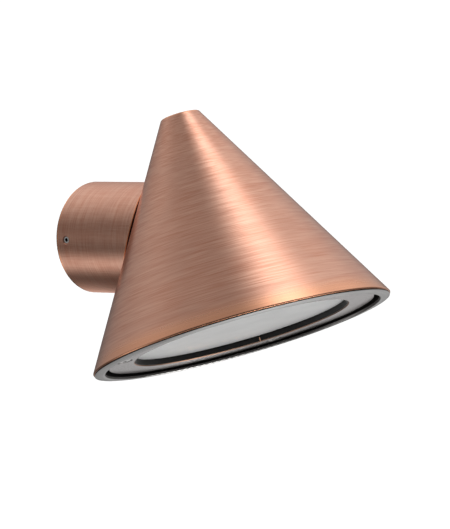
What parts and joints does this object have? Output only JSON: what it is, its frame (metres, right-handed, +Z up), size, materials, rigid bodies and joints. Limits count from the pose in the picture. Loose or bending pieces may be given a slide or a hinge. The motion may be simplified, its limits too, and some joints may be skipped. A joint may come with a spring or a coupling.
{
  "type": "outdoor wall light",
  "caption": "Outdoor wall light: a brushed copper cone, leaning towards the wall, on a short round copper arm, with a recessed downward glass held by a metal ring.",
  "frame": {"origin": "centre of the round wall foot, on the wall plane, midway between the two wall screw slots", "axes": "+Y into the wall, the light stands out along -Y, +Z up, +X to the right when looking at the wall"},
  "size_m": [0.1626, 0.1842, 0.1444],
  "materials": {
    "brushed_copper": "brushed round the axis, lacquered",
    "lug_copper": "plain sheet, soldered",
    "rim_metal": "satin grey, turned",
    "ring_metal": "turned, bright",
    "ring_screw_steel": "plain socket screws",
    "stainless_steel": "plain",
    "zinc_steel": "zinc plated",
    "zinc_plate": "pressed, zinc plated",
    "cast_aluminium": "cast, machined faces",
    "carrier_aluminium": "rolled sheet",
    "terminal_brass": "plain",
    "tinned_brass": "tinned",
    "black_rubber": "soft, matt",
    "dark_rubber": "soft, matt",
    "black_nylon": "moulded",
    "terminal_plastic": "moulded",
    "board_white": "white solder mask on an aluminium core",
    "chip_phosphor": "phosphor",
    "reflector_white": "white coated",
    "driver_case": "moulded, potted",
    "opal_glass": "opal, satin below",
    "insulation_brown": "silicone insulation",
    "insulation_blue": "silicone insulation",
    "insulation_green_yellow": "silicone insulation",
    "insulation_red": "silicone insulation",
    "insulation_black": "silicone insulation"
  },
  "bodies": {
    "wall_side": {"wall_seal": "black_rubber", "wall_plate": "zinc_plate", "cable_grommet": "black_rubber", "plate_earth_screw": "terminal_brass", "plate_earth_washer": "terminal_brass"},
    "lamp": {"arm_tube": "brushed_copper", "arm_grub_screws": "stainless_steel", "arm_saddle_block": "cast_aluminium", "saddle_seal": "dark_rubber", "cone_shell": "brushed_copper", "clamp_shoe": "cast_aluminium", "clamp_screws": "stainless_steel", "clamp_spring_washers": "stainless_steel", "lead_bush": "black_nylon", "terminal_block": "terminal_plastic", "terminal_sleeves": "terminal_brass", "terminal_clamp_screws": "zinc_steel", "terminal_fixing_screws": "zinc_steel", "saddle_earth_screw": "terminal_brass", "earth_tag": "tinned_brass", "rim_frame": "rim_metal", "rim_seal": "black_rubber", "shell_lugs": "lug_copper", "frame_screws": "stainless_steel", "rear_seal": "black_rubber", "carrier_plate": "carrier_aluminium", "carrier_screws": "stainless_steel", "led_board": "board_white", "led_chips": "chip_phosphor", "board_screws": "stainless_steel", "reflector": "reflector_white", "reflector_screws": "stainless_steel", "led_driver": "driver_case", "driver_screws": "stainless_steel", "carrier_grommet": "black_rubber", "lead_live": "insulation_brown", "lead_neutral": "insulation_blue", "lead_earth": "insulation_green_yellow", "lead_led_positive": "insulation_red", "lead_led_negative": "insulation_black"},
    "ring_set": {"retaining_ring": "ring_metal", "ring_screws": "ring_screw_steel", "diffuser": "opal_glass", "front_seal": "black_rubber"}
  },
  "joints": [
    {"name": "lamp_off_wall", "type": "slide", "parent": "wall_side", "child": "lamp", "axis": [0, -1, 0], "range_m": [0, 0.02]},
    {"name": "ring_off_cone", "type": "slide", "parent": "lamp", "child": "ring_set", "axis": [0, -0.3074, -0.9516], "range_m": [0, 0.012]}
  ]
}
